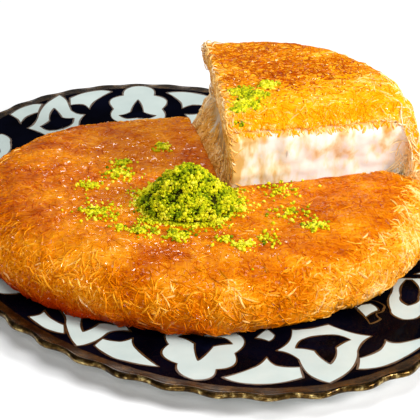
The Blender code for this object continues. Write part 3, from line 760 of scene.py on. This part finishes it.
class Skin:
    """The surface of one body or more, to lay shreds and crumbs on."""

    def __init__(self, *objects):
        points, sides = [], []
        for obj in objects:
            start = len(points)
            points += get_points(obj).tolist()
            sides += [[index + start for index in face.vertices] for face in obj.data.polygons]
        self.tree = BVHTree.FromPolygons(points, sides)
        self.centres = face_values(objects, "center", 3)
        self.normals = face_values(objects, "normal", 3)
        self.areas = face_values(objects, "area", 1)[:, 0]

    def spots(self, count, where):
        """Random places on the chosen part of the surface, by area."""
        weight = self.areas * where(self.centres, self.normals)
        picked = chance.choice(len(weight), count, p=weight / weight.sum())
        return self.centres[picked], self.normals[picked]


def away_from(centre, points):
    """How far points lie from a centre, seen from above."""
    return np.hypot(points[:, 0] - centre.x, points[:, 1] - centre.y)


def behind_cut(points, heading):
    """How far points lie behind the cut that runs from the apex in this direction, on its left side."""
    return (points[:, 1] - APEX.y) * math.cos(heading) - (points[:, 0] - APEX.x) * math.sin(heading)


def near_front(points, start, end):
    """One at the wedge's cut that faces the camera, falling to none behind it."""
    return 1 - smooth_step(behind_cut(points, CUT_RIGHT + TURN), start, end)


def near_left(points, start, end):
    """One at the wedge's left cut, falling to none inside the wedge."""
    return smooth_step(behind_cut(points, CUT_LEFT + TURN), start, end)


def within(away=OPEN, height=OPEN, tilt=OPEN, fade=None):
    """Chooses a part of a skin by its distance from the cake's middle, its height and how far it faces up."""

    def share(at, facing):
        inside = np.ones(len(at))
        for values, (least, most) in ((away_from(CAKE, at), away), (at[:, 2], height), (facing[:, 2], tilt)):
            inside = inside * ((values > least) & (values < most))
        return inside * fade(at) if fade else inside

    return share


def lay_shreds(skin, spots, normals, headings, lengths, points, wander, lifts, arch):
    """Paths of shreds that wander over the skin. Returns their points and the skin's normals there."""
    paths, ups = [], []
    for place, up, heading, length, lift, hump in zip(spots, normals, headings, lengths, lifts, arch):
        place, up, heading = Vector(place), Vector(up), Vector(heading)
        heading = (heading - up * heading.dot(up)).normalized()
        step = length / (points - 1)
        curl = chance.normal(0, wander)
        path, above = [], []
        for index in range(points):
            share = index / (points - 1)
            rise = lift + hump * math.sin(math.pi * share) - END_DROP * (2 * share - 1) ** 4
            path.append(place + up * rise)
            above.append(up)
            curl = 0.7 * curl + chance.normal(0, wander)
            heading = Matrix.Rotation(curl, 3, up) @ heading
            found, facing, _, _ = skin.tree.find_nearest(place + heading * step)
            heading = found - place
            up = (up * 0.4 + facing * 0.6).normalized()
            place = found
            heading = (heading - up * heading.dot(up)).normalized()
        paths.append(path)
        ups.append(above)
    return np.array(paths), np.array(ups)


def crowd_piece(name, points, faces, shades):
    """One piece of many small parts, each with its own shade, kept just below the solids' top."""
    points = points.reshape(-1, 3)
    points[:, 2] = np.minimum(points[:, 2], cad_high.z - HEADROOM)
    return mesh_piece(name, points.tolist(), faces, np.repeat(shades, len(points) // len(shades)))


def shred_piece(name, paths, ups, widths, heights, shades, sides, taper):
    """Closed strips along all the paths at once, drawn in at both ends."""
    count, length, _ = paths.shape
    along = np.gradient(paths, axis=1)
    along /= np.linalg.norm(along, axis=2, keepdims=True) + 1e-12
    across = np.cross(along, ups)
    across /= np.linalg.norm(across, axis=2, keepdims=True) + 1e-12
    ups = np.cross(across, along)
    ends = taper + (1 - taper) * np.sin(np.linspace(0, math.pi, length)) ** 0.5
    turn = np.arange(sides) / sides * math.tau + math.pi / 2
    ring = across[:, :, None] * np.cos(turn)[:, None] * widths[:, None, None, None] / 2
    ring = ring + ups[:, :, None] * np.sin(turn)[:, None] * heights[:, None, None, None] / 2
    points = paths[:, :, None] + ring * ends[None, :, None, None]
    around = np.arange(sides)
    start = np.arange(count)[:, None] * length * sides
    row = start[:, None] + np.arange(length - 1)[None, :, None] * sides
    here, after = row + around, row + (around + 1) % sides
    quads = np.stack([here, here + sides, after + sides, after], -1).reshape(-1, 4)
    first = start + around
    last = start + (length - 1) * sides + around[::-1]
    return crowd_piece(name, points, quads.tolist() + first.tolist() + last.tolist(), shades)


def crumb_piece(name, places, sizes, shades):
    """Uneven crumbs, each a small lump of twenty faces."""
    bpy.ops.object.select_all(action="DESELECT")
    bpy.ops.mesh.primitive_ico_sphere_add(subdivisions=1, radius=1)
    model = bpy.context.object
    lump = get_points(model)
    sides = np.array([list(p.vertices) for p in model.data.polygons])
    bpy.data.objects.remove(model)
    count = len(places)
    turn = np.linalg.qr(chance.normal(size=(count, 3, 3)))[0]
    turn *= np.sign(np.linalg.det(turn))[:, None, None]
    shapes = lump[None] * chance.uniform(0.7, 1.25, (count, len(lump), 1))
    shapes = shapes * chance.uniform(0.7, 1.25, (count, 1, 3))
    points = np.einsum("nij,nvj->nvi", turn, shapes) * sizes[:, None, None] + places[:, None]
    faces = (sides[None] + np.arange(count)[:, None, None] * len(lump)).reshape(-1, 3)
    return crowd_piece(name, points, faces.tolist(), shades)


def random_headings(count, bias=(0, 0, 0)):
    made = chance.normal(size=(count, 3)) + np.array(bias)
    return made / np.linalg.norm(made, axis=1, keepdims=True)


def cover(name, skin, where, finish, count, length, width, height, lift, hump, shade,
          wander=0.2, bias=(0, 0, 0), points=5):
    """Covers a part of a body with shreds. Pairs are ranges, but shade is the usual one and its spread."""
    spots, normals = skin.spots(count, where)
    lengths = chance.uniform(*length, count)
    paths, ups = lay_shreds(skin, spots, normals, random_headings(count, bias), lengths, points, wander,
                            chance.uniform(*lift, count), chance.uniform(*hump, count))
    usual, spread = shade
    shades = np.clip(usual + spread * (1.4 * abs(chance.normal(size=count)) - 0.9), 0, 1)
    widths = chance.uniform(*width, count)
    heights = chance.uniform(*height, count)
    obj = shred_piece(name, paths, ups, widths, heights, shades, SHRED_SIDES, SHRED_TAPER)
    finish_piece(obj, finish)
    obj.data.set_sharp_from_angle(angle=CRISP_EDGE)


def finish_crust(body, finish, node):
    """Roughens a crust, puts it in its node's place and returns the skin that its shreds lie on."""
    roughen(body, CRUST_RELIEF, CRUST_LUMP)
    skin = Skin(body)
    finish_piece(body, finish, node)
    return skin


def make_cake():
    body = fine_copy("cake_pastry", "cake_crust", voxel=0.0012, shrink=0.0004)
    points = get_points(body)
    calm(body, (points[:, 2] > CAKE_TOP - 0.006) & (away_from(CAKE, points) < 0.088), 14)
    upper = smooth_step(points[:, 2], 0.028, 0.034)
    # The side's paler right, partly painted light, is taken back off the top
    rightward = np.clip((points[:, 0] - PALE_FROM) / (PALE_TO - PALE_FROM), 0, 1)
    set_shades(body, 0.32 + 0.02 * upper - PALE * rightward * upper)
    skin = finish_crust(body, CRUST_SIDE, "cake_pastry")
    top = within(height=(0.030, FAR), tilt=(0.72, FAR), fade=lambda at: away_from(HEAP, at) > HEAP_RADIUS)
    side = within(away=(0.080, FAR), tilt=(-0.55, 0.86),
                  fade=lambda at: 0.6 + 0.4 * smooth_step(at[:, 2], 0.012, 0.020))
    fringe = within(away=(0.090, FAR), height=(0.017, 0.030), tilt=(-0.5, FAR))
    cover("shreds_top", skin, top, CRUST_TOP, 5000, length=(0.004, 0.014), width=(0.0005, 0.0009),
          height=(0.00016, 0.00032), lift=(-0.00008, 0.00006), hump=(0, 0.0001), shade=(0.38, 0.11), points=6)
    cover("shreds_side", skin, side, CRUST_SIDE, 6600, length=(0.004, 0.011), width=(0.0007, 0.0012),
          height=(0.0004, 0.0007), lift=(-0.0001, 0.0003), hump=(0, 0.0003), shade=(0.39, 0.13), wander=0.13)
    cover("shreds_fringe", skin, fringe, CRUST_SIDE, 800, length=(0.004, 0.010), width=(0.0008, 0.0013),
          height=(0.0005, 0.0008), lift=(0.0001, 0.0005), hump=(0, 0.0005), shade=(0.51, 0.13),
          wander=0.11, bias=(0, 0, -0.8), points=7)
    return skin


def hang_edge(points, underside):
    """Draws the wedge's cut edge down and out over the cheese, in uneven tongues."""
    lower = 1 - smooth_step(points[:, 2], underside, underside + 0.007)
    runs = (points[:, 0] / TONGUE_WIDTH).tolist()
    tongue = np.array([noise.noise((run, 4.3, 0)) + 0.5 * noise.noise((run * 2.7, 1.3, 0)) for run in runs])
    drop = (0.5 + 0.5 * np.clip(0.38 + 1.1 * tongue, 0, 1)) * near_front(points, 0.001, 0.007) * lower
    points[:, 2] -= TONGUE_DEPTH * drop
    points[:, :2] += OUT_OF_CUT * TONGUE_DEPTH * drop[:, None]


def make_slice():
    body = fine_copy("slice_pastry", "slice_crust", voxel=0.0009, shrink=0.0008)
    points = get_points(body)
    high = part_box("slice_pastry")[1]
    calm(body, (points[:, 2] > high.z - 0.014) & (away_from(CAKE, points) < 0.090), 16)
    points = get_points(body)
    hang_edge(points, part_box("slice_cheese")[1].z)
    set_points(body, points)
    skin = finish_crust(body, CRUST_AMBER, "slice_pastry")

    def front(at):
        return near_front(at, 0.003, 0.036)

    top = within(height=(WEDGE_LEAST_Z, FAR), tilt=(0.55, FAR), fade=lambda at: 1 - front(at))
    amber = within(height=(0.055, FAR), tilt=(-0.5, FAR), fade=front)
    left = within(away=(-FAR, 0.104), height=(WEDGE_LEAST_Z, FAR), tilt=(-FAR, 0.45),
                  fade=lambda at: near_left(at, -0.010, 0))
    corner = within(away=(0.092, FAR), height=(WEDGE_LEAST_Z, FAR),
                    fade=lambda at: near_left(at, -0.006, -0.001))
    skirt = within(away=(0.094, FAR), tilt=(-FAR, 0.7))
    cover("slice_shreds_top", skin, top, CRUST_TOP, 2800, length=(0.005, 0.015), width=(0.0005, 0.0009),
          height=(0.00020, 0.00042), lift=(-0.00008, 0.00008), hump=(0, 0.0001), shade=(0.35, 0.10))
    cover("slice_shreds_amber", skin, amber, CRUST_AMBER, 1900, length=(0.003, 0.010), width=(0.0005, 0.0009),
          height=(0.0003, 0.0005), lift=(-0.0001, 0.0002), hump=(0, 0.0002), shade=(0.46, 0.14),
          bias=(0, 0, -0.5))
    cover("slice_shreds_left", skin, left, CRUST_PALE, 900, length=(0.003, 0.010), width=(0.0006, 0.0010),
          height=(0.0005, 0.0008), lift=(0, 0.0006), hump=(0, 0.0005), shade=(0.40, 0.15), bias=(0, 0, -0.6))
    cover("slice_tuft", skin, corner, CRUST_PALE, 200, length=(0.003, 0.008), width=(0.0005, 0.0009),
          height=(0.0004, 0.0007), lift=(0.0002, 0.0016), hump=(0, 0.0012), shade=(0.55, 0.16), wander=0.25)
    cover("slice_shreds_skirt", skin, skirt, CRUST_PALE, 2600, length=(0.004, 0.013), width=(0.0006, 0.0010),
          height=(0.0004, 0.0008), lift=(-0.0001, 0.0003), hump=(0, 0.0004), shade=(0.60, 0.14),
          wander=0.14, bias=(0, 0, -1.0))
    return skin


def make_gap():
    body = fine_copy("gap_base_pastry", "gap_crust", voxel=0.0010, shrink=0.0003, shade=0.5)
    skin = finish_crust(body, CRUST_PALE, "gap_base_pastry")
    wall = within(away=(0.088, FAR), height=(0.0092, FAR), tilt=(-0.6, FAR))
    seam = within(away=(0.098, FAR), height=(SEAM_Z - 0.006, SEAM_Z + 0.006))
    both = Skin(bpy.data.objects["slice_crust"], body)
    cover("seam_strands", both, seam, CRUST_PALE, 1500, length=(0.006, 0.014), width=(0.0007, 0.0012),
          height=(0.0005, 0.0009), lift=(0.0002, 0.0008), hump=(0, 0.0004), shade=(0.58, 0.15),
          wander=0.12, bias=(0, 0, -1.8))
    cover("gap_shreds", skin, wall, CRUST_PALE, 1600, length=(0.004, 0.013), width=(0.0006, 0.0010),
          height=(0.0005, 0.0009), lift=(0, 0.0007), hump=(0, 0.0007), shade=(0.60, 0.18), bias=(0, 0, 0.9))


def pull_strings(skin):
    """Shallow ridges that run down the pulled cheese."""
    face = within(away=(-FAR, 0.096), height=(CAKE_TOP - 0.004, FAR), tilt=(-0.4, 0.4))
    spots, normals = skin.spots(CHEESE_STRINGS, face)
    headings = random_headings(CHEESE_STRINGS) * 0.10 + np.array([0, 0, -1])
    lengths = chance.uniform(0.012, 0.024, CHEESE_STRINGS)
    lifts = chance.uniform(-0.0006, -0.0003, CHEESE_STRINGS)
    flat = np.zeros(CHEESE_STRINGS)
    paths, ups = lay_shreds(skin, spots, normals, headings, lengths, 11, 0.02, lifts, flat)
    widths = chance.uniform(0.0016, 0.0036, CHEESE_STRINGS)
    shades = chance.uniform(-0.2, 0.15, CHEESE_STRINGS)
    obj = shred_piece("cheese_strings", paths, ups, widths, widths * 0.24, shades, 6, 0.2)
    finish_piece(obj, CHEESE)


def make_cheese():
    body = fine_copy("slice_cheese", "cheese_body", voxel=0.0008, shrink=0)
    points = get_points(body)
    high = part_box("slice_cheese")[1]
    free = smooth_step(points[:, 2], CAKE_TOP - 0.004, CAKE_TOP + 0.004)
    free *= 1 - smooth_step(points[:, 2], high.z - 0.006, high.z)
    points[:, :2] += OUT_OF_CUT * (CHEESE_BULGE * free * near_front(points, 0.002, 0.012))[:, None]
    points[:, 0] += CHEESE_SPREAD * free * smooth_step(points[:, 0] - APEX.x, 0.066, 0.084)
    set_points(body, points)
    roughen(body, 0.0013, 0.0075, (1, 1, 1.6), free)
    roughen(body, 0.0002, 0.0026, (1, 1, 2), free)
    points = get_points(body)
    mottled = noise_at(points / 0.007)
    blotched = noise_at(points / 0.0035)
    syrup = smooth_step(points[:, 2] + 0.003 * mottled + 0.003 * blotched, high.z - 0.0062, high.z - 0.001)
    # Tan towards the left cut, which faces away from the key lamp: partly butter and crumbs, partly painted
    # shade
    left = near_left(points, -0.012, -0.001)
    inward = near_left(points, -0.034, -0.008)
    set_shades(body, 0.38 * left + 0.28 * inward + 0.12 * np.maximum(mottled, 0))
    set_shades(body, 0.9 * syrup, "syrup")
    skin = Skin(body)
    finish_piece(body, CHEESE, "slice_cheese")
    pull_strings(skin)
    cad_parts["cake_cheese"].data.materials.clear()
    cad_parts["cake_cheese"].data.materials.append(CHEESE)

    def under_crust(at):
        """The band just under the wedge's crust, at its front."""
        return near_front(at, 0.002, 0.008) * smooth_step(at[:, 2], high.z - 0.0030, high.z - 0.0005)

    brow = within(height=(-FAR, high.z + 0.0035), tilt=(-0.75, 0.75), fade=under_crust)
    left_face = within(height=(CAKE_TOP - 0.012, FAR), fade=lambda at: near_left(at, -0.006, -0.001))
    right_end = within(height=(CAKE_TOP - 0.004, FAR),
                       fade=lambda at: smooth_step(at[:, 0] - APEX.x, 0.086, 0.092))
    both = Skin(bpy.data.objects["slice_crust"], body)
    cover("syrup_strands", both, brow, CRUST_AMBER, 700, length=(0.002, 0.0050), width=(0.0008, 0.0018),
          height=(0.0004, 0.0007), lift=(-0.0003, 0.0002), hump=(0, 0.0002), shade=(0.62, 0.20),
          wander=0.10, bias=(0, 0, -2.5))
    cover("strands_left", skin, left_face, CRUST_PALE, 1500, length=(0.004, 0.012), width=(0.0006, 0.0012),
          height=(0.0005, 0.0009), lift=(-0.0001, 0.0003), hump=(0, 0.0005), shade=(0.30, 0.15),
          wander=0.12, bias=(0, 0, -1.5))
    cover("strands_right", skin, right_end, CRUST_PALE, 800, length=(0.004, 0.012), width=(0.0006, 0.0012),
          height=(0.0005, 0.0009), lift=(0, 0.0007), hump=(0, 0.0005), shade=(0.74, 0.12),
          wander=0.12, bias=(0, 0, -1.5))


def lumps(points):
    """How far the heap bulges at each point: clumps of crumbs and the gaps between them."""
    return 0.65 * noise_at(points / 0.0052) + 0.35 * noise_at(points / 0.0024 + 7)


def make_heap():
    core = fine_copy("pistachio_heap", "pistachio_core", voxel=0.0009, shrink=0.0008, shade=0.2)
    modify(core, "SMOOTH", factor=0.5, iterations=4)
    roughen(core, 0.0005, 0.0016)
    skin = Skin(core)
    finish_piece(core, NUT_SHADE, "pistachio_heap")
    # Fewer crumbs in the hollows, so that the dark core shows there as painted shade
    outside = within(tilt=(-0.3, FAR), fade=lambda at: 0.12 + smooth_step(lumps(at), -0.35, 0.15))
    spots, normals = skin.spots(HEAP_CRUMBS, outside)
    height = lumps(spots)
    sizes = 0.00032 + 0.0006 * chance.random(HEAP_CRUMBS) ** 1.7
    rise = HEAP_RELIEF * np.clip(height + 0.25, 0, 1) * chance.uniform(0.2, 1.3, HEAP_CRUMBS)
    places = spots + normals * (rise + sizes * 0.3)[:, None] + chance.normal(0, 0.0002, (HEAP_CRUMBS, 3))
    places[:, 2] = np.maximum(places[:, 2], CAKE_TOP + sizes * 0.3)
    # Crumbs low in the hollows between clumps are darker and those on the clumps lighter: painted shade
    shades = np.clip(0.58 + 0.55 * height + chance.normal(0, 0.14, HEAP_CRUMBS), 0, 1)
    finish_piece(crumb_piece("pistachio_crumbs", places, sizes, shades), NUT)


# Patches of loose crumbs: x and y from the cake's middle, half width, number of crumbs
CRUMB_PATCHES = (
    (-0.006, 0.041, 0.004, 40), (-0.030, 0.028, 0.004, 30), (-0.036, 0.016, 0.006, 70),
    (-0.053, 0.008, 0.005, 30), (-0.057, -0.022, 0.008, 75), (-0.054, -0.043, 0.003, 14),
    (-0.045, -0.049, 0.005, 55), (-0.032, -0.059, 0.005, 60), (-0.014, -0.070, 0.004, 20),
    (-0.007, -0.078, 0.004, 34), (0.005, -0.075, 0.006, 24), (0.025, -0.053, 0.009, 36),
    (0.030, -0.070, 0.004, 46), (0.029, -0.026, 0.010, 40), (-0.010, -0.096, 0.0005, 1),
)
SLICE_CRUMB_PATCHES = (
    (0.0214, 0.0051, 0.0045, 110), (0.0194, -0.0096, 0.0050, 130), (0.0130, -0.0140, 0.0030, 60),
    (0.0364, 0.0083, 0.0035, 80), (0.0267, -0.0011, 0.0045, 110), (0.0136, -0.0198, 0.0016, 18),
)
CROWDED = 2.2  # crumbs for each one counted in a patch
HEAP_SPILL = 1700  # crumbs round the foot of the heap


def scatter(name, skin, patches, spill):
    """Drops loose crumbs on the patches and round the foot of the heap."""
    places, sizes = [], []

    def drop(x, y, size):
        hit = skin.tree.ray_cast(Vector((x, y, ABOVE_CAKE)), Vector((0, 0, -1)))[0]
        if hit and hit.z > TOP_LEAST_Z:
            places.append(hit + Vector((0, 0, 0.45 * size)))
            sizes.append(size)

    for x, y, half_width, count in patches:
        for _ in range(round(CROWDED * count)):
            dx, dy = chance.normal(0, half_width * 0.62, 2)
            drop(CAKE.x + x + dx, CAKE.y + y + dy, chance.uniform(0.0004, 0.0010))
    for _ in range(spill):
        angle = chance.uniform(0, math.tau)
        reach = 0.0022 * (1.4 + noise.noise((3 * math.cos(angle), 3 * math.sin(angle), 1.7)) * 2)
        run = HEAP_RADIUS - 0.0030 + abs(chance.normal(0, max(reach, 0.0008)))
        drop(HEAP.x + run * math.cos(angle), HEAP.y + run * math.sin(angle), chance.uniform(0.0003, 0.0009))
    shades = np.clip(chance.normal(0.74, 0.2, len(sizes)), 0.05, 1)
    obj = crumb_piece(name, np.array([tuple(p) for p in places]), np.array(sizes), shades)
    finish_piece(obj, NUT)


def aimed(name, data, place, target):
    """Puts a lamp or camera in the scene, pointed at its target."""
    obj = bpy.data.objects.new(name, data)
    obj.location = place
    obj.rotation_euler = (Vector(target) - Vector(place)).to_track_quat("-Z", "Y").to_euler()
    bpy.context.scene.collection.objects.link(obj)
    return obj


def make_studio():
    bpy.ops.object.select_all(action="DESELECT")
    bpy.ops.mesh.primitive_grid_add(x_subdivisions=8, y_subdivisions=8, size=FLOOR_WIDTH)
    floor = bpy.context.object
    floor.name = floor.data.name = "studio_floor"
    floor.data.materials.append(FLOOR_PAINT)
    world = bpy.data.worlds.new("studio")
    world.use_nodes = True
    bpy.context.scene.world = world
    background = world.node_tree.nodes["Background"]
    background.inputs["Color"].default_value = linear("#FFFFFF")
    background.inputs["Strength"].default_value = SKY_LIGHT
    bpy.context.scene.view_settings.view_transform = "Standard"
    for name, (place, target, breadth, power) in LIGHTS.items():
        lamp = bpy.data.lights.new(name, "AREA")
        lamp.shape = "DISK"
        lamp.size = breadth
        lamp.energy = power
        aimed(name, lamp, place, target)
    camera = bpy.data.cameras.new("camera")
    camera.sensor_width = SENSOR
    camera.lens = SENSOR * FOCAL_PIXELS / IMAGE
    bpy.context.scene.camera = aimed("camera", camera, CAMERA_PLACE, CAMERA_TARGET)


GLAZE = glazed_porcelain()
# White enamel laid over the cobalt, slightly blue-green and a little uneven
WHITE_ENAMEL = clouded("white_enamel", 60, 4, [(0.3, "#BCCAC6"), (0.7, "#CAD6D1")], relief=(0.05, 0.0003),
                       IOR=1.5, Specular_IOR_Level=0.2, Roughness=0.10)
# Cobalt brushed over the white, for the leaves inside the motifs
COBALT_ENAMEL = clouded("cobalt_enamel", 90, 4, [(0.35, "#010104"), (0.7, "#060817")],
                        IOR=1.5, Specular_IOR_Level=0, Coat_Weight=0.05, Coat_Roughness=0.04)
# Bronze lustre drawn by brush round each field: brown, with a metallic sheen
LUSTRE = clouded("bronze_lustre", 300, 3, [(0.3, "#33210F"), (0.7, "#5E4222")], dull=(0.22, 0.4),
                 relief=(0.1, 0.0002), Metallic=0.3)
# White studio floor, matt
FLOOR_PAINT = clouded("studio_floor_paint", 3, 2, [(0.0, "#F6F6F6"), (1.0, "#FFFFFF")], Roughness=0.9)
CHEESE = melted_cheese()
NUT = ground_pistachio("ground_pistachio", [
    (0.0, "#2E2008"), (0.14, "#3E5404"), (0.40, "#7C900A"), (0.62, "#B9BC10"), (0.85, "#E4DA18"),
    (1.0, "#F6EE4A")])
# A dark nut for the heap's core, which shows only between the crumbs: painted shade
NUT_SHADE = ground_pistachio("ground_pistachio_painted_shade", [(0.0, "#1A1004"), (0.5, "#2C2E06"), (1.0, "#3F5208")])
CRUST_TOP = baked_kataifi("kataifi_top_syruped", [
    (0.0, "#842600"), (0.25, "#B44A00"), (0.5, "#D27400"), (0.75, "#EC980C"), (1.0, "#FFCC7C")],
    patch=0.28, coat=1.0)
CRUST_SIDE = baked_kataifi("kataifi_side", [
    (0.0, "#862E00"), (0.25, "#BE5C00"), (0.5, "#DE8204"), (0.75, "#F8AA28"), (1.0, "#FFD288")],
    patch=0.22, coat=0.8, foot=1.0, pale=PALE)
CRUST_AMBER = baked_kataifi("kataifi_cut_amber", [
    (0.0, "#DC8000"), (0.35, "#F6A204"), (0.65, "#FFB814"), (1.0, "#FFDE96")], patch=0.25, coat=0.8)
CRUST_PALE = baked_kataifi("kataifi_pulled_pale", [
    (0.0, "#C88428"), (0.35, "#F0B656"), (0.65, "#FFDA94"), (1.0, "#FFF0D0")], patch=0.2, coat=0.5)

make_studio()
make_pattern(make_platter())
cake_skin = make_cake()
slice_skin = make_slice()
make_gap()
make_cheese()
make_heap()
scatter("loose_crumbs", cake_skin, CRUMB_PATCHES, HEAP_SPILL)
scatter("slice_crumbs", slice_skin, SLICE_CRUMB_PATCHES, 0)
